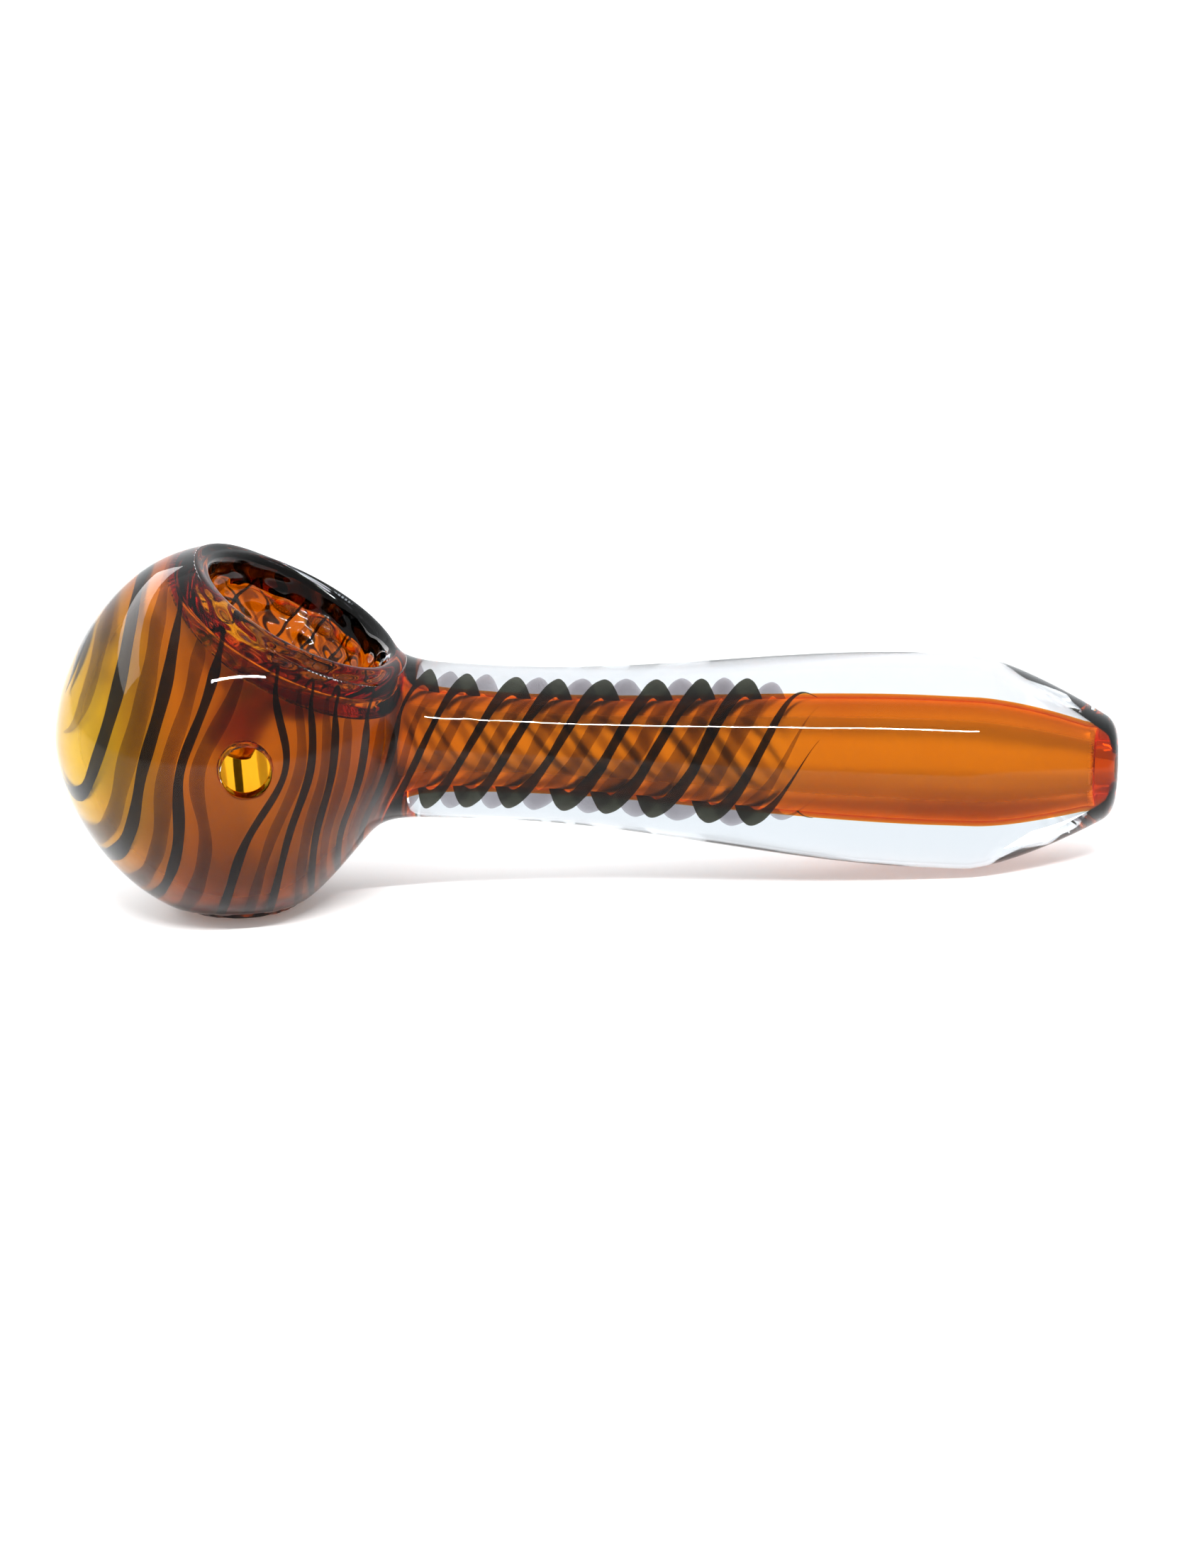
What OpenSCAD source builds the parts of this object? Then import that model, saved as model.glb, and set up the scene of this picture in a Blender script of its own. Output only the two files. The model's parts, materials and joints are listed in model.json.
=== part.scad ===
/* [Head] */
// Radius of the head at its widest
head_r = 19.5; // [18:0.5:21]
// Half height of the head's full form, before the foot and the bowl cut it
head_half_h = 21.6; // [21:0.2:23]
// Radius of the low crown round the rim
crown_r = 20.4; // [20:0.1:20.8]
// Roundness of the head: 2 is an ellipse and less gives straighter shoulders
head_power = 1.75; // [1.6:0.05:2]
// Height of the head's centre above the flat foot
head_z = 19.3; // [19:0.1:20]
// Radius of the flat face that the head stands on
foot_r = 7.2; // [6.5:0.1:7.8]

/* [Bowl] */
// Radius of the bowl's mouth
bowl_r = 10.5; // [9.5:0.25:11]
// Distance from the head's centre to the crest of the rim
rim_reach = 15.8; // [15.5:0.1:16.2]
// Lean of the bowl towards the mouthpiece, in degrees
bowl_lean = 30; // [26:1:33]
// Lean of the bowl towards the side with the carb hole, in degrees
bowl_roll = 6.6; // [0:0.6:9]
// Radius of the rounded crest of the rim
lip_r = 0.85; // [0.7:0.05:1]
// Radius of the hole through the bottom of the bowl
bowl_hole_r = 1.9; // [1.5:0.1:2.2]
// How far past the head's centre the bowl's drawn nipple ends
nipple_past = 2; // [1:0.5:3]

/* [Carb hole] */
// Radius of the carb hole
carb_r = 2.7; // [2:0.1:3]
// Height of the carb hole above the head's centre
carb_up = 0.6; // [0:0.2:1.2]
// Turn of the carb hole towards the mouthpiece, in degrees
carb_turn = 4.3; // [0:0.5:8]

/* [Stem] */
// Distance from the head's centre to the tip of the mouthpiece
stem_len = 94.9; // [92:0.5:100]
// Radius of the neck, just past the head
neck_r = 8.3; // [8:0.1:9]
// Radius of the bulge that the stem rests on
bulge_r = 11.6; // [11:0.2:12.2]
// Distance from the head's centre to the bulge
bulge_at = 75; // [73:0.5:76]
// Radius of the mouthpiece before its rounded tip
tip_r = 6.1; // [5.8:0.1:6.4]
// Radius of the hole in the mouthpiece
mouth_hole_r = 2; // [1.6:0.1:2.2]

/* [Glass layers] */
// Thickness of the clear glass round the head
clear_wall = 2.2; // [2.2:0.1:2.5]
// Thickness of the amber glass in the head
amber_wall = 0.6; // [0.4:0.1:0.9]
// Thickness of the clear glass inside the bowl
bowl_clear = 1.5; // [1.3:0.1:1.7]
// Thickness of the amber glass under the bowl
bowl_amber = 0.6; // [0.4:0.1:0.9]
// Outer radius of the amber tube at the neck
amber_tube_r = 3.6; // [3.4:0.1:3.8]
// Thickness of the amber tube in the stem
tube_wall = 0.4; // [0.3:0.1:0.7]

/* [Colour strands] */
// Half width of a black strand
black_half = 0.6; // [0.4:0.1:0.8]
// Half width of a lilac strand
lilac_half = 0.9; // [0.6:0.1:1.1]
// Height of a strand
strand_h = 0.8; // [0.6:0.1:0.9]
// Distance from the head's centre at which the strands end in the stem
strand_end = 62; // [50:1:64]

/* [Hidden] */
$fn = 64;

// Layer 0 is the outside of the clear glass, 1 is where the amber starts, and 2 is the airway.
head_walls = [0, clear_wall, clear_wall + amber_wall];
foot_walls = [0, 2.6, 2.6 + amber_wall];
bowl_walls = [0, bowl_clear, bowl_clear + bowl_amber];
nipple_radii = [bowl_hole_r, bowl_hole_r + 0.45, bowl_hole_r + 0.95];

// The stem slopes down so that its bulge rests on the same surface as the foot.
stem_drop = asin((head_z - bulge_r) / bulge_at);

// The neck's flare: where it starts, and how much wider it is 8 mm nearer the head.
flare_from = [22, 21, 20.5];
flare_rise = [3.3, 5.6, 5.2];
flare_starts_at = 13;

// The end of each layer in the mouthpiece.
layer_end = [stem_len, stem_len - 0.5, stem_len - 3.4];
tip_round = 2.7;
tip_angle = 30;
far = 40;

// The strands: turns made by each distance from the head's centre, and each one's share of a turn.
strand_turns = [[-19, -0.6], [7.3, 1], [15, 2], [29, 3], [63, 5.15]];
black_phases = [0, 0.32, 0.7];
lilac_phases = [0.18, 0.49, 0.87];
strand_gap = 0.15;
strand_joins_stem = 16.5;
rim_guard = 50;
hole_guard = carb_r + 0.9;
hole_spread = 6;
strand_slant = 0.13;

function smooth_step(from, to, v) = (1 - cos(180 * min(max((v - from) / (to - from), 0), 1))) / 2;

// Radius of the plain stem at distance u: a slow rise to the bulge, then a quick taper to the tip.
taper_from = bulge_at + 4;
taper_to = stem_len - tip_round + tip_round * sin(tip_angle);
taper_end_r = tip_r - tip_round + tip_round * cos(tip_angle);

function stem_body_r(u) =
    neck_r + (bulge_r - neck_r) * smooth_step(29, bulge_at, u)
    - (bulge_r - taper_end_r) * pow(max(u - taper_from, 0) / (taper_to - taper_from), 1.4);

function flare(layer, u) = flare_rise[layer] * pow(max(flare_from[layer] - u, 0) / 8, 2.2);

function amber_body_r(u) = max(3.3, amber_tube_r + 0.35 * (stem_body_r(u) - neck_r));

function stem_layer_r(layer, u) = flare(layer, u) + (
    layer == 0 ? stem_body_r(u) : layer == 1 ? amber_body_r(u) : amber_body_r(u) - tube_wall);

// Distance from the head's centre to a layer of the head's form, along a unit direction.
function head_reach(layer, across, up) = min(crown_r - head_walls[layer], pow(
    pow(abs(across) / (head_r - head_walls[layer]), head_power)
    + pow(abs(up) / (head_half_h - head_walls[layer]), head_power), -1 / head_power));

module head_form(layer) {
    floor_z = foot_walls[layer];
    foot_edge = layer == 0 ? foot_r : 5.5;
    side = [for (a = [0:7.5:145])
        let (reach = head_reach(layer, sin(a), cos(a)), z = head_z + reach * cos(a))
        if (z > floor_z + 1.2) [reach * sin(a), z]];
    rotate_extrude()
        polygon(concat(side, [
            [foot_edge + 1.5, floor_z + 1.05], [foot_edge + 0.4, floor_z + 0.8],
            [foot_edge + 0.25, floor_z + 0.25], [foot_edge, floor_z], [0, floor_z]]));
}

// Turns a shape drawn along +Z at the origin to lie along the stem, from the head's centre.
module along_stem() {
    translate([0, 0, head_z]) rotate([0, 90 + stem_drop, 0]) children();
}

module along_bowl() {
    translate([0, 0, head_z]) rotate([bowl_roll, 0, 0]) rotate([0, bowl_lean, 0]) children();
}

module stem_form(layer) {
    tip = layer == 0
        ? [for (a = [tip_angle:18:120])
            [tip_r, stem_len] + tip_round * [cos(a) - 1, sin(a) - 1]]
        : [[stem_layer_r(layer, layer_end[layer] - 0.8), layer_end[layer] - 0.8],
           [mouth_hole_r + 0.4, layer_end[layer]]];
    side_end = tip[0][1] - 0.6;
    neck_side = [for (u = [flare_starts_at:1.5:28]) [stem_layer_r(layer, u), u]];
    stem_side = [for (u = [30:3:taper_from]) [stem_layer_r(layer, u), u]];
    taper_side = [for (u = [taper_from + 1.5:1.5:side_end]) [stem_layer_r(layer, u), u]];
    along_stem()
        rotate_extrude()
            polygon(concat([[0, flare_starts_at]], neck_side, stem_side, taper_side, tip,
                [[0, tip[len(tip) - 1][1]]]));
}

// What the bowl takes out of a layer: its cup, its nipple and, on the outside, all above the rim.
module bowl_form(layer) {
    lip = [bowl_r + lip_r, rim_reach - lip_r];
    crest = [for (a = [180:-20:60]) lip + lip_r * [cos(a), sin(a)]];
    along_bowl() {
        translate([0, 0, rim_reach + 0.5]) sphere(r = bowl_r + bowl_walls[layer]);
        translate([0, 0, -nipple_past]) cylinder(r = nipple_radii[layer], h = nipple_past + 10);
        if (layer == 0)
            rotate_extrude()
                polygon(concat([[0, far], [0, lip[1]]], crest, [
                    [lip[0] + 1.3, rim_reach - 0.3], [lip[0] + 3.3, rim_reach - 0.2],
                    [lip[0] + 4, rim_reach + 0.6], [lip[0] + 4, far]]));
    }
}

// The solid that lies inside a layer, with the bowl pushed into it.
module layer_form(layer) {
    difference() {
        union() {
            head_form(layer);
            stem_form(layer);
        }
        bowl_form(layer);
    }
}

module carb_drill() {
    translate([0, 0, head_z + carb_up]) rotate([90, 0, carb_turn])
        translate([0, 0, 12]) cylinder(r = carb_r, h = 12);
}

module mouth_drill() {
    along_stem() translate([0, 0, layer_end[2] - 1]) cylinder(r = mouth_hole_r, h = 8);
}

module bowl_drill() {
    along_bowl() translate([0, 0, -nipple_past - 1]) cylinder(r = bowl_hole_r, h = nipple_past + 10);
}

// Directions of the stem in the part's frame: along it, to the carb side, and upwards.
stem_x = [cos(stem_drop), 0, -sin(stem_drop)];
stem_y = [0, -1, 0];
stem_z = [sin(stem_drop), 0, cos(stem_drop)];
bowl_dir = [sin(bowl_lean), -cos(bowl_lean) * sin(bowl_roll), cos(bowl_lean) * cos(bowl_roll)];

function unit(v) = v / norm(v);
function ring_dir(turn) = stem_y * cos(360 * turn) + stem_z * sin(360 * turn);

// Moves a direction on the carb side away from the hole, so that a strand bows round it.
function past_hole(d) =
    let (reach = head_r - clear_wall,
         across = (d[0] - sin(carb_turn)) * reach,
         up = d[2] * reach - carb_up,
         off = across - strand_slant * up,
         push = hole_guard * exp(-pow(up / hole_spread, 2) - abs(off) / hole_spread))
    d[1] > -0.3 ? d : unit(d + [off / norm([off, 0.6]) * push / reach, 0, 0]);

function strand_spot_on_head(d, lift) =
    let (reach = head_reach(1, norm([d[0], d[1]]), d[2]),
         floor_reach = d[2] < -0.3 ? (head_z - foot_walls[1]) / -d[2] : far)
    [0, 0, head_z] + d * (min(reach, floor_reach) + lift);

// One station of a strand: [its spot, its outward direction, whether it is clear of the bowl's rim].
function head_station(angle, phase, lift) =
    let (u = head_r * cos(angle),
         turn = lookup(u, strand_turns) - phase,
         d = past_hole(stem_x * cos(angle) + ring_dir(turn) * sin(angle)))
    [strand_spot_on_head(d, lift), d, acos(d * bowl_dir) > rim_guard];

function stem_station(u, phase, lift) =
    let (d = ring_dir(lookup(u, strand_turns) - phase))
    [[0, 0, head_z] + stem_x * u + d * (stem_layer_r(1, u) + lift), d, true];

function stations(phase) =
    let (join_angle = atan(stem_layer_r(1, strand_joins_stem) / strand_joins_stem),
         head_turns = lookup(strand_joins_stem, strand_turns) - strand_turns[0][1],
         first_angle = 170,
         head_steps = 150,
         stem_steps = 46)
    concat(
        [for (i = [0:head_steps - 1]) head_station(
            first_angle + (join_angle - first_angle) * i / head_steps, phase, strand_gap)],
        [for (i = [0:stem_steps]) stem_station(
            strand_joins_stem + (strand_end - strand_joins_stem) * i / stem_steps, phase, strand_gap)]);

// The corners of a strand's section at station i: flat underneath and narrower on top.
function section(path, i, first, last, half) =
    let (behind = path[max(i - 1, first)][0],
         ahead = path[min(i + 1, last)][0],
         out = path[i][1],
         side = unit(cross(unit(ahead - behind), out)),
         size = min(1, 0.35 + 0.2 * min(i - first, last - i)))
    [for (c = [[-1, 0], [1, 0], [0.65, 1], [-0.65, 1]])
        path[i][0] + side * c[0] * half * size + out * c[1] * strand_h * size];

module strand_run(path, first, last, half) {
    points = [for (i = [first:last]) for (p = section(path, i, first, last, half)) p];
    rings = last - first;
    sides = [for (i = [0:rings - 1]) for (k = [0:3])
        let (a = 4 * i + k, b = 4 * i + (k + 1) % 4)
        for (corners = [[a, b, b + 4], [a, b + 4, a + 4]]) corners];
    e = 4 * rings;
    polyhedron(points, concat([[2, 1, 0], [3, 2, 0]], sides, [[e, e + 1, e + 2], [e, e + 2, e + 3]]));
}

// A strand is a run of stations wherever it is clear of the bowl's rim.
module strand(phase, half) {
    path = stations(phase);
    count = len(path);
    firsts = [for (i = [0:count - 1]) if (path[i][2] && (i == 0 || !path[i - 1][2])) i];
    lasts = [for (i = [0:count - 1]) if (path[i][2] && (i == count - 1 || !path[i + 1][2])) i];
    for (k = [0:len(firsts) - 1])
        if (lasts[k] - firsts[k] > 3) strand_run(path, firsts[k], lasts[k], half);
}

module black_strand(i) { color("black") strand(black_phases[i], black_half); }
module lilac_strand(i) { color("thistle") strand(lilac_phases[i], lilac_half); }

module clear_casing() {
    color("lightcyan", 0.35)
        difference() {
            layer_form(0);
            layer_form(1);
            bowl_drill();
            carb_drill();
            mouth_drill();
        }
}

module amber_liner() {
    color("orange", 0.7)
        difference() {
            layer_form(1);
            layer_form(2);
            bowl_drill();
            carb_drill();
            mouth_drill();
        }
}

clear_casing();
amber_liner();
black_strand(0);  // black_strand_1
black_strand(1);  // black_strand_2
black_strand(2);  // black_strand_3
lilac_strand(0);  // lilac_strand_1
lilac_strand(1);  // lilac_strand_2
lilac_strand(2);  // lilac_strand_3
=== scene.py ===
# %% [markdown]
# # A layered glass spoon pipe
#
# The pipe is one fused piece of borosilicate glass. It is built here the way that its layers lie: a thick
# clear skin, an amber tube inside it, and six thin rods of black and lilac glass melted on between the two.
# Lengths in this lesson are in millimetres and turn into metres as each mesh is made.

# %% The frame and the tools
import json
import math

import bmesh
import bpy
import numpy as np
from mathutils import Matrix, Vector


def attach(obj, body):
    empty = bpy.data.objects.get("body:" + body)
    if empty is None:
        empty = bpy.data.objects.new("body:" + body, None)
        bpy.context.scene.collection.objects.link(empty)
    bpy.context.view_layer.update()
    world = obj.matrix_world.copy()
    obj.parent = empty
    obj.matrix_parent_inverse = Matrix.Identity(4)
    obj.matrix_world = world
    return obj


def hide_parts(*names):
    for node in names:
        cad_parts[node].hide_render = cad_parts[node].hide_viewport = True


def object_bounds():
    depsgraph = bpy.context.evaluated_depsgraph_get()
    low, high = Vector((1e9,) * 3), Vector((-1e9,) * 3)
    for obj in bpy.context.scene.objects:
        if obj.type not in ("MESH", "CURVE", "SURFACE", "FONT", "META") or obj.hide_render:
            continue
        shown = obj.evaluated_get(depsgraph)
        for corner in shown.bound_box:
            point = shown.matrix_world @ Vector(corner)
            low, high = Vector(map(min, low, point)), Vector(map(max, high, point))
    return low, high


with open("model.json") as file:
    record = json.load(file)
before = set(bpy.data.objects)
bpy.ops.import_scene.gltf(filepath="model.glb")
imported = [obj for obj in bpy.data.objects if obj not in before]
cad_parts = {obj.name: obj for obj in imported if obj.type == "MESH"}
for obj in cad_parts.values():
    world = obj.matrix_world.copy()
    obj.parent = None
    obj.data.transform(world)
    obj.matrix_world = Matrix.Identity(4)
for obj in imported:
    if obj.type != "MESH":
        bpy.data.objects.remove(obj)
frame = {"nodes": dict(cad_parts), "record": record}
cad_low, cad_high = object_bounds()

MM = 0.001
mounts = {m["name"]: m for m in frame["record"]["mounts"]}
print("The frame has", len(frame["nodes"]), "pieces and the mounts", sorted(mounts))

# %% [markdown]
# ## Directions
#
# The head, the bowl and the stem all meet at one point, the centre of the head. Every skin of the pipe can be
# seen from that point, so a skin is a distance for each direction. A direction is an angle away from the stem
# and a turn round it; a hole has an axis of its own, with an angle away from it and a turn round it.


# %% Directions from the head's centre
def unit(v):
    """v shortened to length 1, along its last axis."""
    return v / np.linalg.norm(v, axis=-1, keepdims=True)


def mount_axis(name):
    return unit(np.array(mounts[name]["axis"]))


def mount_spot(name):
    return np.array(mounts[name]["pos_m"]) / MM


BOWL = mount_axis("bowl_hole")
HEAD = mount_spot("bowl_hole") - 2.0 * BOWL
CARB = unit(mount_spot("carb_hole") - HEAD)
STEM = mount_axis("mouth_hole")
STEM_SIDE = np.array([0.0, -1.0, 0.0])
STEM_UP = np.cross(STEM_SIDE, STEM)


def sides(axis):
    """Two directions at right angles to an axis and to each other; the first leans towards the stem."""
    first = unit(STEM - axis * (STEM @ axis)) if abs(STEM @ axis) < 0.999 else STEM_SIDE
    return first, np.cross(axis, first)


def from_polar(axis, angle, turn, first=None, second=None):
    """The direction at an angle from an axis: cos(angle) along it and sin(angle) round it at the turn."""
    if first is None:
        first, second = sides(axis)
    angle, turn = np.asarray(angle)[..., None], np.asarray(turn)[..., None]
    return np.cos(angle) * axis + np.sin(angle) * (np.cos(turn) * first + np.sin(turn) * second)


def to_polar(axis, d):
    """The angle of a direction away from an axis, and its turn round the axis."""
    first, second = sides(axis)
    return np.arccos(np.clip(d @ axis, -1, 1)), np.arctan2(d @ second, d @ first)


def ease(start, end, v):
    """0 before start, 1 after end, and half a cosine wave between."""
    return (1 - np.cos(np.pi * np.clip((v - start) / (end - start), 0, 1))) / 2


def soft_max(a, b, hardness):
    """The larger of two lengths with a rounded change-over: the root of the sum of their powers."""
    return (a**hardness + b**hardness) ** (1 / hardness)


def soft_min(a, b, hardness):
    return 1 / soft_max(1 / a, 1 / b, hardness)


print("Head centre", HEAD.round(2), "bowl", BOWL.round(3), "stem", STEM.round(3))

# %% [markdown]
# ## The skins
#
# The maker starts from a clear tube with an amber lining, lays the colour rods on the amber, cases them, and
# blows the end into a head. The stem is what was pulled out of the rest of the tube: narrow at the neck, a
# slow swelling to rest on, and a quick taper to the lips. Skin 0 is the outside, skin 1 is where the amber
# starts, skin 2 is the airway, and skin 3 is the inner side of the amber, which is thinner where the head
# was blown widest.

# %% The reach of each skin
OUTSIDE, AMBER, AIRWAY, AMBER_INSIDE = range(4)
WALL = [0, 2.2, 2.8, 0]
FOOT_WALL = [0, 2.6, 3.2, 2.95]
BLEND = [10, 5, 5, 5]
HEAD_R, HEAD_HALF_H, HEAD_POWER, CROWN_R = 19.5, 21.6, 1.75, 20.4
FOOT_R, FOOT_H = 6.9, 1.25
NECK_R, BULGE_R, TIP_R = 8.3, 11.6, 6.1
RISE_FROM, BULGE_AT, TAPER_FROM, TAPER_POWER = 29, 75, 79, 1.4
NECK_TUBE_R, MOUTH_TUBE_R, TUBE_GROWTH = 3.6, 3.3, 0.35
STEM_AMBER = [0, 0, 0.4, 0.3]
HEAD_AMBER, HEAD_AMBER_MORE = 0.14, 0.3
TIP_ROUND, TIP_ANGLE, LENGTH = 2.7, math.radians(30), 94.9
TIP_FROM = LENGTH - TIP_ROUND * (1 - math.sin(TIP_ANGLE))
TAPER_R = TIP_R - TIP_ROUND * (1 - math.cos(TIP_ANGLE))


def stem_radius(layer, u):
    """Radius of a skin at distance u along the stem: a cosine rise to the bulge, then a power curve to the
    tip. The amber tube inside grows by a share of what the outside gains past the neck."""
    taper = (np.clip(u - TAPER_FROM, 0, None) / (TIP_FROM - TAPER_FROM)) ** TAPER_POWER
    body = NECK_R + (BULGE_R - NECK_R) * ease(RISE_FROM, BULGE_AT, u) - (BULGE_R - TAPER_R) * taper
    if layer == OUTSIDE:
        return body
    tube = np.maximum(MOUTH_TUBE_R, NECK_TUBE_R + TUBE_GROWTH * (body - NECK_R))
    return tube - STEM_AMBER[layer]


def reach(layer, d):
    """Distance from the head's centre to a skin along direction d. The head is a superellipse held under a
    round crown, with a waist towards the stem, over a step down to the flat foot; the stem joins it softly."""
    along = d @ STEM
    amber = HEAD_AMBER + HEAD_AMBER_MORE * ease(-1.0, 0.1, along)
    wall = WALL[AMBER] + amber if layer == AMBER_INSIDE else WALL[layer]
    across, up = np.hypot(d[..., 0], d[..., 1]), d[..., 2]
    form = (across / (HEAD_R - wall)) ** HEAD_POWER + (np.abs(up) / (HEAD_HALF_H - wall)) ** HEAD_POWER
    head = soft_min(form ** (-1 / HEAD_POWER), CROWN_R - wall, 60)
    head = head * (1 - 0.07 * ease(0.2, 0.75, along) * ease(0.05, 0.6, -up))
    down = np.maximum(-up, 0.05)
    if layer == OUTSIDE:
        step = (HEAD[2] - FOOT_H) / down
        side = FOOT_R / np.maximum(across, 0.02)
        head = np.where(head > step, soft_max(step, soft_min(head, side, 40), 120), head)
    head = soft_min(head, (HEAD[2] - FOOT_WALL[layer]) / down, 90)
    u = np.linspace(0.5, 99, 800)
    angles, rays = np.arctan2(stem_radius(layer, u), u), np.hypot(stem_radius(layer, u), u)
    angle = np.arccos(np.clip(along, -1, 1))
    return soft_max(head, np.interp(angle, angles[::-1], rays[::-1]), BLEND[layer])


def skin_point(layer, d):
    return HEAD + d * reach(layer, d)[..., None]


for layer in (OUTSIDE, AMBER, AIRWAY, AMBER_INSIDE):
    left, below = reach(layer, -STEM), reach(layer, np.array([0, 0, -1.0]))
    print("Skin", layer, "left", left.round(2), "down", below.round(2))

# %% [markdown]
# ## The bowl
#
# The bowl is pushed into the hot head with a round tool, which folds all the layers inwards: clear glass
# lines the cup and the amber lies beneath it. Then a pick opens the bottom into a short drawn nipple. On each
# skin the section of the cup runs from the head over the rim, down a ball-shaped wall and out through the
# nipple.

# %% The section of the cup
CUP_R = [10.5, 12, 12.6, 12.4]
CREST = [(11.4, 15.75), (12.0, 13.0), (12.05, 11.9), (12.05, 12.3)]
CUP_FROM = [12.8, 13.4, 13.1, 13.2]
WALL_FROM = [14.6, 11.6, 10.4, 10.8]
NIPPLE_R = [1.9, 2.35, 2.85, 2.8]
NIPPLE_END = [-1.75, -1.6, -1.75, -1.6]
CUP_CENTRE = 16.3
SHARE_OUTSIDE = 0.16


def hermite(a, da, b, db, t):
    """The cubic from a to b that leaves a along da and reaches b along db."""
    t = t[..., None]
    return ((1 + 2 * t) * (1 - t) ** 2 * a + t * (1 - t) ** 2 * da
            + t * t * (3 - 2 * t) * b + t * t * (t - 1) * db)


def cup_section(layer):
    """Points (distance from the bowl's axis, height along it) from the crest of the rim to the nipple's end,
    with each one's share of the length: a turn inwards, an arc of a ball, a fillet and a straight bore."""
    r, edge = CUP_R[layer], np.array(CREST[layer], float)
    start = math.asin((CUP_CENTRE - WALL_FROM[layer]) / r)
    end = math.acos((NIPPLE_R[layer] + 0.7) / r)
    a = np.linspace(start, end, 60)
    ball = np.stack([r * np.cos(a), CUP_CENTRE - r * np.sin(a)], -1)
    into = unit(ball[1] - ball[0])
    turn_in = hermite(edge, np.array([-1.6, 0.0]), ball[0], into * 1.6, np.linspace(0, 1, 14))
    tube_top = np.array([NIPPLE_R[layer], ball[-1][1] - 0.9])
    leaving = unit(ball[-1] - ball[-2]) * 1.1
    fillet = hermite(ball[-1], leaving, tube_top, np.array([0, -1.1]), np.linspace(0, 1, 9))
    down = np.linspace(tube_top, [NIPPLE_R[layer], NIPPLE_END[layer]], 12)
    line = np.concatenate([turn_in, ball[1:], fillet[1:], down[1:]])
    length = np.concatenate([[0], np.cumsum(np.linalg.norm(np.diff(line, axis=0), axis=1))])
    return line, length / length[-1]


SECTIONS = [cup_section(layer) for layer in range(4)]


def hole_edge(layer, axis, radius, turn):
    """The angle from a hole's axis at which a skin is a given radius from it: sin(angle) = radius / reach."""
    angle = np.full(np.shape(turn), 0.7 if radius > 6 else 0.15)
    for _ in range(12):
        angle = 0.5 * angle + 0.5 * np.arcsin(radius / reach(layer, from_polar(axis, angle, turn)))
    return angle


def cup_point(layer, turn, share, edge=None):
    """A point of the cup: share 0 is where the head ends, and share 1, past the rim, is the nipple's end."""
    edge = hole_edge(layer, BOWL, CUP_FROM[layer], turn) if edge is None else edge

    def flat(angle):
        r = reach(layer, from_polar(BOWL, angle, turn))
        return np.stack([r * np.sin(angle), r * np.cos(angle)], -1)

    start, crest = flat(edge), np.array(CREST[layer], float)
    gap = np.linalg.norm(crest - start, axis=-1, keepdims=True)
    lead = unit(flat(edge - 0.01) - start) * gap * 1.2
    over_rim = np.array([-1.0, 0.0]) * gap * 0.8
    outer = hermite(start, lead, crest, over_rim, np.clip(share / SHARE_OUTSIDE, 0, 1))
    line, length = SECTIONS[layer]
    inner_share = np.clip((share - SHARE_OUTSIDE) / (1 - SHARE_OUTSIDE), 0, 1)
    inner = np.stack([np.interp(inner_share, length, line[:, k]) for k in (0, 1)], -1)
    both = np.where((share < SHARE_OUTSIDE)[..., None], outer, inner)
    first, second = sides(BOWL)
    out = np.cos(turn)[..., None] * first + np.sin(turn)[..., None] * second
    return HEAD + both[..., :1] * out + both[..., 1:] * BOWL


print("The cup's section has", [len(s[0]) for s in SECTIONS], "points on each skin")

# %% [markdown]
# ## A skin as a grid
#
# Rows step away from the far side of the head towards the mouthpiece, and columns go once round the stem.
# Where a hole goes through, a block of cells is left out and the lines round it are drawn into its circle.

# %% Grids with round holes
COLUMNS = 160
ROW = math.radians(1.3)
STEM_ROW = 0.7
STEM_ROWS_FROM = [23.5, 25.0, 25.0, 25.0]
STEM_END = [TIP_FROM, 93.5, 91.5, 91.52]
CARB_EDGE = [2.8, 2.9, 2.8, 2.9]


def seen_from_stem(d):
    """The angle of a direction away from the stem, and its turn round it."""
    return float(np.arccos(d @ STEM)), float(np.arctan2(d @ STEM_UP, d @ STEM_SIDE))


BOWL_ANGLE, BOWL_TURN = seen_from_stem(BOWL)
HOLES = {
    "bowl": dict(axis=BOWL, rows=27, columns=17, spread=1.5, at=seen_from_stem(BOWL), radius=CUP_FROM),
    "carb": dict(axis=CARB, rows=5, columns=4, spread=2.2, at=seen_from_stem(CARB), radius=CARB_EDGE),
}


def quads(points, keep=None, round_trip=True):
    """(points, faces) for rows of points: each face joins a step along a row to the same step of the next."""
    rows, columns = points.shape[:2]
    i, j = np.meshgrid(np.arange(rows - 1), np.arange(columns - (not round_trip)), indexing="ij")
    a, b = i * columns + j, i * columns + (j + 1) % columns
    faces = np.stack([a, b, b + columns, a + columns], -1)
    return points.reshape(-1, 3), (faces[keep] if keep is not None else faces.reshape(-1, 4))


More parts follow.
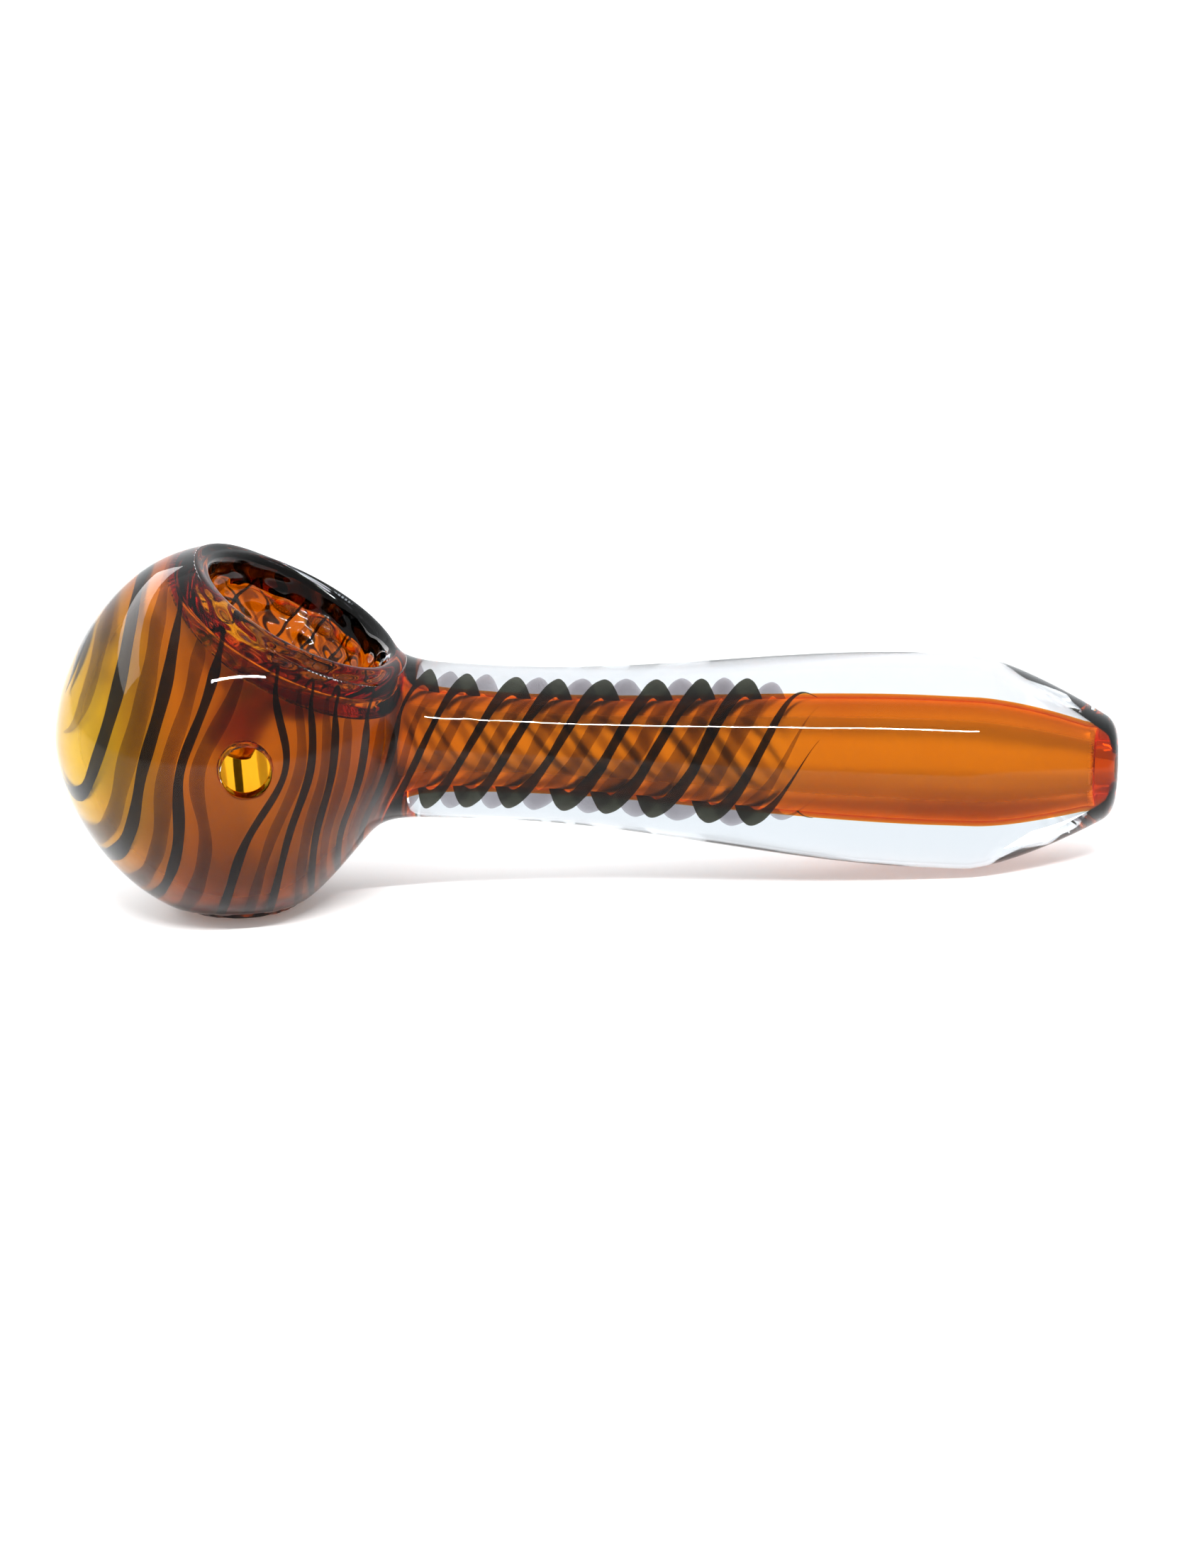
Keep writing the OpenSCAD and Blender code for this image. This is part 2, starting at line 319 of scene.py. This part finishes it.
def skin(layer):
    """A skin's grid of points, the cells that stay, and the loop of points round each hole."""
    first_u = STEM_ROWS_FROM[layer]
    least = math.atan2(float(stem_radius(layer, first_u)), first_u)
    steps = np.arange(int((math.pi - BOWL_ANGLE) / ROW) - 1, -200, -1)
    head = BOWL_ANGLE + steps * ROW
    head = head[head > least + ROW / 2]
    u = np.linspace(first_u, STEM_END[layer], int((STEM_END[layer] - first_u) / STEM_ROW) + 1)
    angle = np.concatenate([[math.pi], head, np.arctan2(stem_radius(layer, u), u)])
    turn = BOWL_TURN + np.arange(COLUMNS) * 2 * np.pi / COLUMNS
    d = from_polar(STEM, *np.meshgrid(angle, turn, indexing="ij"), STEM_SIDE, STEM_UP)
    i, j = np.meshgrid(np.arange(len(angle)), np.arange(COLUMNS), indexing="ij")
    keep = np.ones((len(angle) - 1, COLUMNS), bool)
    loops = {}
    for name, hole in HOLES.items():
        row = int(np.argmin(np.abs(angle - hole["at"][0])))
        column = round((hole["at"][1] - BOWL_TURN) / (2 * np.pi / COLUMNS)) % COLUMNS
        side = (j - column + COLUMNS // 2) % COLUMNS - COLUMNS // 2
        block = np.maximum(np.abs(i - row) / hole["rows"], np.abs(side) / hole["columns"])
        blend = np.clip((block - 1) / (hole["spread"] - 1), 0, 1)
        away, round_it = to_polar(hole["axis"], d)
        edge = hole_edge(layer, hole["axis"], hole["radius"][layer], round_it)
        moved = from_polar(hole["axis"], (1 - blend) * edge + blend * away, round_it)
        d = np.where((blend < 1)[..., None], moved, d)
        inside = ((i >= row - hole["rows"]) & (i < row + hole["rows"])
                  & (side >= -hole["columns"]) & (side < hole["columns"]))
        keep &= ~inside[:-1]
        n, m = hole["rows"], hole["columns"]
        up, over = np.arange(-n, n), np.arange(-m, m)
        loop_i = row + np.concatenate([np.full(2 * m, -n), up, np.full(2 * m, n), -up])
        loop_j = column + np.concatenate([over, np.full(2 * n, m), -over, np.full(2 * n, -m)])
        loops[name] = d[loop_i, loop_j % COLUMNS]
    points = skin_point(layer, d)
    points[0] = HEAD - STEM * reach(layer, -STEM)
    return points, keep, loops


print("Each skin has", COLUMNS, "columns and leaves room for the holes", sorted(HOLES))

# %% [markdown]
# ## From grids to a piece
#
# A piece is several grids that share their edge points: skins, the walls of holes, and ends. Once the shared
# points are merged, the mesh is closed, and its faces can be turned outwards all at once. One number is kept
# at each point, the haze, because the airway of a blown tube is never as clear as its fire-polished outside.


# %% Closed pieces
def make_piece(name, parts, nodes, hazy=()):
    """Joins parts that share edge points into one closed mesh with its faces outwards, as a piece.
    hazy lists the parts whose points get 1 in the attribute "haze"; the others get 0."""
    starts = np.cumsum([0] + [len(points) for points, _ in parts])
    points = np.concatenate([points for points, _ in parts]) * MM
    faces = np.concatenate([faces + start for (_, faces), start in zip(parts, starts)])
    mesh = bpy.data.meshes.new(name)
    mesh.vertices.add(len(points))
    mesh.vertices.foreach_set("co", points.astype(np.float32).ravel())
    mesh.loops.add(faces.size)
    mesh.loops.foreach_set("vertex_index", faces.astype(np.int32).ravel())
    mesh.polygons.add(len(faces))
    mesh.polygons.foreach_set("loop_start", np.arange(0, faces.size, 4, dtype=np.int32))
    haze = mesh.attributes.new("haze", "FLOAT", "POINT")
    marks = np.concatenate([np.full(len(part), float(k in hazy)) for k, (part, _) in enumerate(parts)])
    haze.data.foreach_set("value", marks.astype(np.float32))
    mesh.update(calc_edges=True)
    tidy = bmesh.new()
    tidy.from_mesh(mesh)
    bmesh.ops.remove_doubles(tidy, verts=tidy.verts, dist=2e-7)
    loose = [v for v in tidy.verts if not v.link_faces]
    bmesh.ops.delete(tidy, geom=loose, context="VERTS")
    bmesh.ops.recalc_face_normals(tidy, faces=tidy.faces)
    if tidy.calc_volume(signed=True) < 0:
        bmesh.ops.reverse_faces(tidy, faces=tidy.faces)
    gaps = sum(1 for e in tidy.edges if not e.is_manifold)
    tidy.to_mesh(mesh)
    tidy.free()
    mesh.polygons.foreach_set("use_smooth", np.ones(len(mesh.polygons), bool))
    piece = bpy.data.objects.new(name, mesh)
    bpy.context.scene.collection.objects.link(piece)
    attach(piece, "root")
    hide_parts(*nodes)
    print(name, "has", len(mesh.polygons), "faces and", gaps, "open edges")
    return piece


# %% [markdown]
# ## The walls of the holes
#
# The carb hole was blown through a hot spot on the side, so it is a short tube with fire-rounded edges. The
# bowl is the cup's section carried round the bowl's axis, faintly rippled where the tool chilled it. Both
# start on the loop of points that the skin left for them, so that they meet it without a gap.

# %% Walls of the carb hole and the bowl
CARB_R = 2.7


def carb_wall(outer, inner, flare):
    """The wall of the carb hole from one loop to another: a tube that widens towards both ends."""
    ends = []
    for loop in (outer, inner):
        off = loop - HEAD
        first, second = sides(CARB)
        ends.append((np.unwrap(np.arctan2(off @ second, off @ first)), off @ CARB))
    (turn_a, far_a), (turn_b, far_b) = ends
    turn_b = turn_b + 2 * np.pi * np.round((turn_a - turn_b).mean() / (2 * np.pi))
    t = np.linspace(0, 1, 14)[:, None]
    turn, far = turn_a + (turn_b - turn_a) * t, far_a + (far_b - far_a) * t
    radius = CARB_R + flare * np.abs(2 * t - 1) ** 6
    first, second = sides(CARB)
    wall = HEAD + (radius * np.cos(turn))[..., None] * first + (radius * np.sin(turn))[..., None] * second
    wall = wall + far[..., None] * CARB
    wall[0], wall[-1] = outer, inner
    return quads(wall)


def cup_wall(layer, loop, ripple=0.0):
    """The cup's rows from the loop where the head ends to the nipple's end, with ripples on its ball."""
    away, turn = to_polar(BOWL, loop)
    share = np.concatenate([np.linspace(0, SHARE_OUTSIDE, 10), np.linspace(SHARE_OUTSIDE, 1, 110)[1:]])
    share, turn = np.meshgrid(share, turn, indexing="ij")
    points = cup_point(layer, turn, share, np.broadcast_to(away, share.shape))
    if ripple:
        centre = HEAD + CUP_CENTRE * BOWL
        wave = (np.sin(5 * turn + 14 * share) + 0.8 * np.sin(-8 * turn + 37 * share + 1)
                + 0.6 * np.sin(13 * turn + 61 * share + 2) + 0.5 * np.sin(-3 * turn + 83 * share))
        size = ripple * ease(0.2, 0.3, share) * (1 - ease(0.62, 0.72, share)) * wave
        points = points + unit(points - centre) * size[..., None]
    points[0] = skin_point(layer, loop)
    return points


print("The cup has", SECTIONS[OUTSIDE][0].shape[0], "points down its section")

# %% [markdown]
# ## The clear glass
#
# The casing is one closed body: the outside skin, the cup, the airway, and the short walls that join them
# at the nipple, the carb hole and the lips. It is made in one go rather than cut with booleans, because clear
# glass shows every crease that a cut leaves.

# %% The clear casing
outside, outside_keep, outside_loops = skin(OUTSIDE)
airway, airway_keep, airway_loops = skin(AIRWAY)
cup, under_cup = cup_wall(OUTSIDE, outside_loops["bowl"], 0.16), cup_wall(AIRWAY, airway_loops["bowl"])
bulge = np.sin(np.linspace(0, np.pi, 9))[:, None, None] * 0.3 * BOWL
nipple_end = np.linspace(cup[-1], under_cup[-1], 9) - bulge
arc = np.radians(np.linspace(36, 120, 12))
lips = np.array([TIP_R, LENGTH]) + TIP_ROUND * np.stack([np.cos(arc) - 1, np.sin(arc) - 1], -1)
mouth = np.concatenate([lips, [[2.0, 94.3], [2.0, 93.4], [2.0, 92.5], [2.0, 91.6], [2.1, 91.5], [2.3, 91.5]]])


def turned(profile, first_row, last_row):
    """A profile turned round the stem, between two rows that are there already."""
    turn = BOWL_TURN + np.arange(COLUMNS) * 2 * np.pi / COLUMNS
    out = np.cos(turn)[:, None] * STEM_SIDE + np.sin(turn)[:, None] * STEM_UP
    rows = HEAD + profile[:, None, :1] * out[None] + profile[:, None, 1:] * STEM
    return quads(np.concatenate([first_row[None], rows, last_row[None]]))


casing = make_piece("clear_glass_casing", [
    quads(outside, outside_keep), quads(airway, airway_keep), quads(cup), quads(under_cup), quads(nipple_end),
    carb_wall(skin_point(OUTSIDE, outside_loops["carb"]), skin_point(AIRWAY, airway_loops["carb"]), 0.1),
    turned(mouth, outside[-1], airway[-1]),
], ["clear_casing"], hazy=(1,))

# %% [markdown]
# ## The amber glass
#
# The amber tube lies wholly inside the clear glass here, a hair away from the airway, so that it is a closed
# body of its own. It is thinnest at the far end of the head, where the glass was blown out most.

# %% The amber liner
amber, amber_keep, amber_loops = skin(AMBER)
inner, inner_keep, inner_loops = skin(AMBER_INSIDE)
amber_cup, inner_cup = cup_wall(AMBER, amber_loops["bowl"]), cup_wall(AMBER_INSIDE, inner_loops["bowl"])
amber_end = np.array([[3.15, 93.8], [2.8, 94.2], [2.4, 94.35], [2.06, 94.3], [2.06, 92.8], [2.06, 91.54]])
liner = make_piece("amber_glass_liner", [
    quads(amber, amber_keep), quads(inner, inner_keep), quads(amber_cup), quads(inner_cup),
    quads(np.stack([amber_cup[-1], inner_cup[-1]])),
    carb_wall(skin_point(AMBER, amber_loops["carb"]), skin_point(AMBER_INSIDE, inner_loops["carb"]), 0.2),
    turned(amber_end, amber[-1], inner[-1]),
], ["amber_liner"])

# %% [markdown]
# ## The colour strands
#
# Three black and three lilac rods were melted on to the amber and wound round it as the tube was turned.
# They start together at the far end of the head, go round it close to level, crowd together in the neck and
# then stretch into a longer and longer screw until they fade out in the stem. Pushing in the bowl carried
# them down into the cup, and blowing the carb hole drove them aside. So a strand isn't swept through space:
# it is a line of directions, and the amber skin says how far away each one lies.


# %% Lines pressed on the amber
def pressed_point(d):
    """The amber skin's point for a direction; directions inside the bowl's edge are folded into the cup."""
    away, turn = to_polar(BOWL, d)
    edge = hole_edge(AMBER, BOWL, CUP_FROM[AMBER], turn)
    share = np.clip(1 - away / edge, 0, 1) * 0.93
    return np.where((away < edge)[..., None], cup_point(AMBER, turn, share, edge), skin_point(AMBER, d))


def outward(d):
    """The amber skin's normal on its clear side, from two small steps across it."""
    first = unit(np.cross(d, np.array([0.3, 0.1, 0.9])))
    second = np.cross(d, first)
    steps = (0.004 * first, 0.004 * second)
    along = [pressed_point(unit(d + step)) - pressed_point(unit(d - step)) for step in steps]
    return unit(np.cross(*along))


CARB_REACH, STRAND_LEAN, CARB_PUSH, PUSH_SPREAD = 17.3, 0.25, 4.0, 6


def past_carb(d):
    """Directions moved aside by the carb hole: the push is greatest at its middle and fades like a bell."""
    across = d[..., 0] * CARB_REACH - CARB[0] * CARB_REACH
    up = (d[..., 2] - CARB[2]) * CARB_REACH
    off = across - STRAND_LEAN * up
    fade = np.exp(-((up / PUSH_SPREAD) ** 2) - np.abs(off) / PUSH_SPREAD)
    push = CARB_PUSH * fade * (d[..., 1] < -0.3)
    aside = off / np.hypot(off, 0.15) * push / CARB_REACH
    return unit(d + aside[..., None] * np.array([1.0, 0, 0]))


def smooth_line(v, width):
    """A line of values averaged with its neighbours by a bell of the given width in steps."""
    bell = np.exp(-0.5 * (np.arange(-3 * width, 3 * width + 1) / width) ** 2)
    padded = np.concatenate([np.full(3 * width, v[0]), v, np.full(3 * width, v[-1])])
    return np.convolve(padded, bell / bell.sum(), "valid")


ANGLE_TABLE = np.radians(np.linspace(179, 2.6, 500))
FRONT = from_polar(STEM, ANGLE_TABLE, np.zeros(500), STEM_SIDE, STEM_UP)
U_TABLE = reach(AMBER, FRONT) * np.cos(ANGLE_TABLE)
print("Strand lines run from", U_TABLE[0].round(1), "to", U_TABLE[-1].round(1), "mm along the stem")

# %% [markdown]
# ## One strand
#
# The screw line is given by a few places along the stem and the number of turns that the tube had made by
# each. The rod is a flat-bottomed oval carried along that line. Its width swells and shrinks a little, as
# hand-laid glass does, it flattens to a film in the bowl's rim, and it fades to a point at both ends.

# %% The colour strands
STRAND_FROM, STRAND_TO = -16.8, 62.6
SCREW_AT, SCREW_TURNS = [-19, 7.3, 15, 29, 63], [-0.6, 1, 2, 3, 5.15]
STATION, ROUND_IT = 0.4, 16
ROD_DEPTH, ROD_LIFT = 0.22, 0.02


def strand(name, phase, half_width, height, node):
    """A closed rod that follows its screw line on the amber; its turn grows with the distance along."""
    u = np.linspace(STRAND_FROM, STRAND_TO, 6000)
    seen_u = u * (1 + 0.06 * (1 - ease(8, 16, u)))
    turns = np.interp(seen_u, SCREW_AT, SCREW_TURNS)
    wander = 0.009 * np.sin(u * 0.35 + 9 * phase) + 0.004 * np.sin(u * 0.9 + 17 * phase)
    turn = 2 * np.pi * (smooth_line(turns, 110) - phase + wander)
    d = past_carb(from_polar(STEM, np.interp(u, U_TABLE, ANGLE_TABLE), turn, STEM_SIDE, STEM_UP))
    points = pressed_point(d)
    length = np.concatenate([[0], np.cumsum(np.linalg.norm(np.diff(points, axis=0), axis=1))])
    stations = np.linspace(0, length[-1], int(length[-1] / STATION))
    d = unit(np.stack([np.interp(stations, length, d[:, k]) for k in range(3)], -1))
    line = pressed_point(d)
    u_at = (line - HEAD) @ STEM
    out = outward(d)
    out = unit(np.stack([smooth_line(out[:, k], 2) for k in range(3)], -1))
    ahead = unit(np.gradient(line, axis=0))
    side = unit(np.cross(ahead, out))
    t = stations / length[-1]
    ends = np.minimum(ease(-0.004, 0.02, t), 1 - ease(0.955, 1.0, t)) * 0.97 + 0.03
    swell = 1 + 0.13 * np.sin(stations * 0.31 + 20 * phase) + 0.08 * np.sin(stations * 0.83 + 5 * phase)
    away, _ = to_polar(BOWL, d)
    thin = 1 - 0.86 * (1 - ease(0.84, 1.05, away))
    slim = 1 + 0.5 * (1 - ease(-14, -3, u_at)) - 0.35 * ease(-4, 6, u_at) * (1 - ease(24, 40, u_at))
    slim = slim * (1 - 0.5 * (1 - ease(0.84, 1.0, away)))
    round_it = np.linspace(0, 2 * np.pi, ROUND_IT, endpoint=False)
    wide = (half_width * swell * ends * slim)[:, None] * np.cos(round_it)
    high = np.where(np.sin(round_it) > 0, height, ROD_DEPTH) * np.sin(round_it) * (ends * thin)[:, None]
    rod = line[:, None] + wide[..., None] * side[:, None] + (high + ROD_LIFT)[..., None] * out[:, None]
    tips = [np.repeat(line[k, None, None], ROUND_IT, 1) for k in (0, -1)]
    rod = np.concatenate([tips[0], rod, tips[1]])
    return make_piece(name, [quads(rod)], [node])


BLACK_PHASES, LILAC_PHASES = (0, 0.32, 0.7), (0.18, 0.49, 0.87)
BLACK_HALF, BLACK_HIGH = 0.52, 1.15
LILAC_HALF, LILAC_HIGH = 0.75, 1.2
strands = []
for k, (black_phase, lilac_phase) in enumerate(zip(BLACK_PHASES, LILAC_PHASES), 1):
    strands.append(
        strand(f"black_rod_{k}", black_phase, BLACK_HALF, BLACK_HIGH, f"black_strand_{k}"))
    strands.append(
        strand(f"lilac_rod_{k}", lilac_phase, LILAC_HALF, LILAC_HIGH, f"lilac_strand_{k}"))


# %% [markdown]
# ## Shader sums
#
# Shader values are written as ordinary sums. A Value wraps one output of a node; the operators add maths
# nodes, and add() makes any other node.


# %% A small language for shader values
class Value:
    """One output in a material's node tree, which can be added, multiplied and compared like a number."""

    def __init__(self, tree, output):
        self.tree, self.output = tree, output

    def add(self, kind, inputs, output=0, **settings):
        """A new node with these settings and inputs, which are numbers, colours or other Values."""
        node = self.tree.nodes.new("ShaderNode" + kind)
        for key, setting in settings.items():
            setattr(node, key, setting)
        for key, value in inputs.items():
            if isinstance(value, Value):
                self.tree.links.new(value.output, node.inputs[key])
            else:
                node.inputs[key].default_value = value
        return Value(self.tree, node.outputs[output])

    def maths(self, operation, *others):
        return self.add("Math", dict(enumerate((self, *others))), operation=operation)

    def __add__(self, other):
        return self.maths("ADD", other)

    def __mul__(self, other):
        return self.maths("MULTIPLY", other)

    def __sub__(self, other):
        return self.maths("SUBTRACT", other)

    def __truediv__(self, other):
        return self.maths("DIVIDE", other)

    def __rsub__(self, other):
        return (self * -1.0) + other

    __radd__, __rmul__ = __add__, __mul__

    def clamp(self, low, high):
        return self.maths("MAXIMUM", low).maths("MINIMUM", high)

    def mix(self, first, second):
        """first where this is 0 and second where it is 1, as colours."""
        return self.add("Mix", {0: self, 6: first, 7: second}, output=2, data_type="RGBA")

    def noise(self, scale, detail=2.0):
        return self.add("TexNoise", {"Vector": self, "Scale": scale, "Detail": detail})


def new_material(name, **constants):
    """A material with a Principled shader set to the constants; returns it with its object coordinates."""
    material = bpy.data.materials.new(name)
    material.use_nodes = True
    tree = material.node_tree
    shader = tree.nodes["Principled BSDF"]
    for key, value in constants.items():
        shader.inputs[key.replace("_", " ")].default_value = value
    where = Value(tree, tree.nodes.new("ShaderNodeTexCoord").outputs["Object"])
    return material, tree, shader, where


def feed(tree, shader, **values):
    for key, value in values.items():
        tree.links.new(value.output, shader.inputs[key.replace("_", " ")])


def depth_colour(tree, colour, density):
    """The glass takes up light along its depth: (1 - colour) x density for each metre."""
    node = tree.nodes.new("ShaderNodeVolumeAbsorption")
    node.inputs["Color"].default_value = (*colour, 1)
    node.inputs["Density"].default_value = density
    tree.links.new(node.outputs[0], tree.nodes["Material Output"].inputs["Volume"])


print("Shader values are ready")

# %% [markdown]
# ## Clear glass
#
# Borosilicate is almost colourless, with a faint cool tint, and fire-polishing leaves slow waves and no
# grain. The base colour, which light meets each time it crosses a face, holds that cool tint and a painted
# shade: its grey, much darker than real borosilicate, stands in for the dim surroundings seen through the
# glass. The haze of the airway is added to the roughness, so what lies behind the tube is seen softly. The
# specular tint keeps the white table from veiling the colours.

# %% Clear glass
clear, tree, shader, where = new_material(
    "clear borosilicate", Transmission_Weight=1.0, IOR=1.47, Specular_Tint=(0.5, 0.5, 0.5, 1))
waves = where.noise(70.0, 1.0)
haze = where.add("Attribute", {}, output=2, attribute_name="haze")
# Painted shade: the grey base colour darkens the glass beyond its faint cool tint, for the dim surroundings it
# shows.
feed(tree, shader,
     Base_Color=where.noise(30.0).mix((0.66, 0.69, 0.72, 1), (0.73, 0.76, 0.79, 1)),
     Roughness=(where.noise(160.0) * 0.02 - 0.006).clamp(0.0, 0.02) + haze * 0.3,
     Normal=waves.add("Bump", {"Height": waves, "Strength": 0.25, "Distance": 0.0006}))
casing.data.materials.append(clear)

print(clear.name, "is on", casing.name)

# %% [markdown]
# ## Amber glass
#
# Amber is the same glass coloured with metal salts, so light doesn't bend between the two and its index here
# is 1. Its colour comes in two ways: a tint for each wall that light crosses, which keeps the tube's colour
# even, and a deeper colour with depth, which makes thick edges red. The blown-out end of the head is light
# gold, the rest of the head a browner orange, and the stem a clean orange, all in soft clouds.

# %% Amber glass
amber_glass, tree, shader, where = new_material(
    "amber glass", Transmission_Weight=1.0, IOR=1.0, Roughness=0.0)
along = where.add("SeparateXYZ", {0: where})
BROWN_TO, BROWN_FADE, GOLD_TO, GOLD_FADE = 0.026, 0.008, -0.006, 0.01
deep = ((BROWN_TO - along) / BROWN_FADE).clamp(0.0, 1.0)
gold = ((GOLD_TO - along) / GOLD_FADE).clamp(0.0, 1.0)
orange = where.noise(60.0, 3.0).clamp(0.0, 1.0).mix((0.87, 0.44, 0.05, 1), (0.97, 0.62, 0.08, 1))
brown = where.noise(90.0, 4.0).mix((0.82, 0.38, 0.035, 1), (1.0, 0.62, 0.04, 1))
feed(tree, shader, Base_Color=gold.mix(deep.mix(orange, brown), (1.0, 0.84, 0.05, 1)))
depth_colour(tree, (0.93, 0.6, 0.1), 1300.0)
liner.data.materials.append(amber_glass)

print(amber_glass.name, "is on", liner.name)

# %% [markdown]
# ## Black and lilac glass
#
# The black is a very deep colour that shows greenish where light comes through it, and the lilac a thin
# smoky one. A slow noise makes each rod a little lighter and darker along its length.

# %% Black and lilac glass
black, tree, shader, where = new_material("black glass", Transmission_Weight=1.0, IOR=1.0, Roughness=0.0)
feed(tree, shader, Base_Color=where.noise(300.0, 3.0).mix((0.06, 0.06, 0.04, 1), (0.17, 0.17, 0.13, 1)))
depth_colour(tree, (0.1, 0.12, 0.0), 600.0)

lilac, tree, shader, where = new_material("lilac glass", Transmission_Weight=1.0, IOR=1.0, Roughness=0.0)
cloud = where.noise(260.0, 4.0)
feed(tree, shader, Base_Color=cloud.mix((0.56, 0.53, 0.54, 1), (0.77, 0.74, 0.76, 1)))
depth_colour(tree, (0.2, 0.14, 0.17), 300.0)
for rod in strands:
    rod.data.materials.append(black if "black" in rod.name else lilac)
print("Finishes are on", len(strands) + 2, "pieces")

# %% [markdown]
# ## The table
#
# The pipe stands on a plain white table that glows a little, like a lit light table, since clear glass takes
# its brightness from whatever lies behind it.

# %% The table
FLOOR_GAP = 0.00005
middle = (np.array(cad_low) + np.array(cad_high)) / 2


def plain_plane(name, size, low):
    mesh = bpy.data.meshes.new(name)
    corners = np.array([[-1, -1], [1, -1], [1, 1], [-1, 1]]) * size / 2 + middle[:2]
    mesh.from_pydata([(*corner, low) for corner in corners], [], [(0, 1, 2, 3)])
    plane = bpy.data.objects.new(name, mesh)
    bpy.context.scene.collection.objects.link(plane)
    return plane


floor = plain_plane("floor", 6.0, cad_low[2] - FLOOR_GAP)
paper, tree, shader, where = new_material("lit white table", Roughness=0.9, Specular_IOR_Level=0.1)
shader.inputs["Emission Color"].default_value = (1, 1, 1, 1)
shader.inputs["Emission Strength"].default_value = 0.12
feed(tree, shader, Base_Color=where.noise(4.0).mix((0.86, 0.86, 0.86, 1), (0.88, 0.88, 0.88, 1)))
floor.data.materials.append(paper)
print("The table is", paper.name)

# %% [markdown]
# ## The lights
#
# A big soft box hangs over the table. A narrow strip in front draws the fine line along the stem, and a wide
# strip behind the head's far end draws the soft band on its shoulder. The room is white behind the pipe and
# a little darker on the camera's side, so the near faces reflect less.


# %% The lights
def soft_light(name, spot, size, power, colour=(1, 1, 1)):
    light = bpy.data.lights.new(name, "AREA")
    light.shape, light.size, light.size_y = "RECTANGLE", size[0], size[1]
    light.energy, light.color = power, colour
    lamp = bpy.data.objects.new(name, light)
    bpy.context.scene.collection.objects.link(lamp)
    lamp.location = Vector(middle) + Vector(spot)
    lamp.rotation_euler = (-Vector(spot)).to_track_quat("-Z", "Y").to_euler()
    return lamp


lamps = [
    soft_light("overhead soft box", (0.0, 0.25, 1.1), (1.8, 1.2), 2.0),
    soft_light("front strip", (0.06, -0.68, 0.73), (0.6, 0.02), 9.0),
    soft_light("shoulder strip", (-0.75, 0.45, 0.6), (1.4, 0.25), 4.0),
]

world = bpy.data.worlds.new("white room")
bpy.context.scene.world = world
world.use_nodes = True
sky = Value(world.node_tree, world.node_tree.nodes.new("ShaderNodeTexCoord").outputs["Generated"])
depth, height = (sky.add("SeparateXYZ", {0: sky}, output=k) for k in (1, 2))
glow = ((depth + height * 0.7 + 0.35) / 0.6).clamp(0.0, 1.0)
background = world.node_tree.nodes["Background"]
room = glow.mix((0.8, 0.8, 0.8, 1), (0.95, 0.98, 1.0, 1))
world.node_tree.links.new(room.output, background.inputs["Color"])
background.inputs["Strength"].default_value = 1.05

print("The room and", len(lamps), "lights are set")

# %% [markdown]
# ## The camera
#
# A long lens from a little above, turned slightly, looks square on to the side with the carb hole. The light
# path is allowed many turns, because each layer of glass uses up two.

# %% The camera
ELEVATION, ROLL = math.radians(16), math.radians(3.3)
FRAME_WIDTH, DISTANCE = 0.1265, 1.2
AIM_RIGHT, AIM_DOWN, SENSOR = 0.0004, 0.0081, 36
toward = Vector((0, math.cos(ELEVATION), -math.sin(ELEVATION)))
level_up, level_right = Vector((0, math.sin(ELEVATION), math.cos(ELEVATION))), Vector((1, 0, 0))
right = level_right * math.cos(ROLL) - level_up * math.sin(ROLL)
up = level_right * math.sin(ROLL) + level_up * math.cos(ROLL)
lens = bpy.data.cameras.new("camera")
lens.sensor_fit, lens.sensor_width = "HORIZONTAL", SENSOR
lens.lens = SENSOR * DISTANCE / FRAME_WIDTH
lens.clip_start, lens.clip_end = 0.05, 20
camera = bpy.data.objects.new("camera", lens)
bpy.context.scene.collection.objects.link(camera)
aim = Vector(middle) - up * AIM_DOWN + right * AIM_RIGHT
turn = Matrix((right, up, -toward)).transposed()
camera.matrix_world = Matrix.Translation(aim - toward * DISTANCE) @ turn.to_4x4()
bpy.context.scene.camera = camera

scene = bpy.context.scene
scene.view_settings.view_transform, scene.view_settings.look = "Standard", "Medium High Contrast"
scene.cycles.max_bounces, scene.cycles.transmission_bounces = 40, 36
scene.cycles.transparent_max_bounces, scene.cycles.glossy_bounces = 40, 8

print("The lens is", round(lens.lens), "mm long and the camera stands", DISTANCE, "m away")
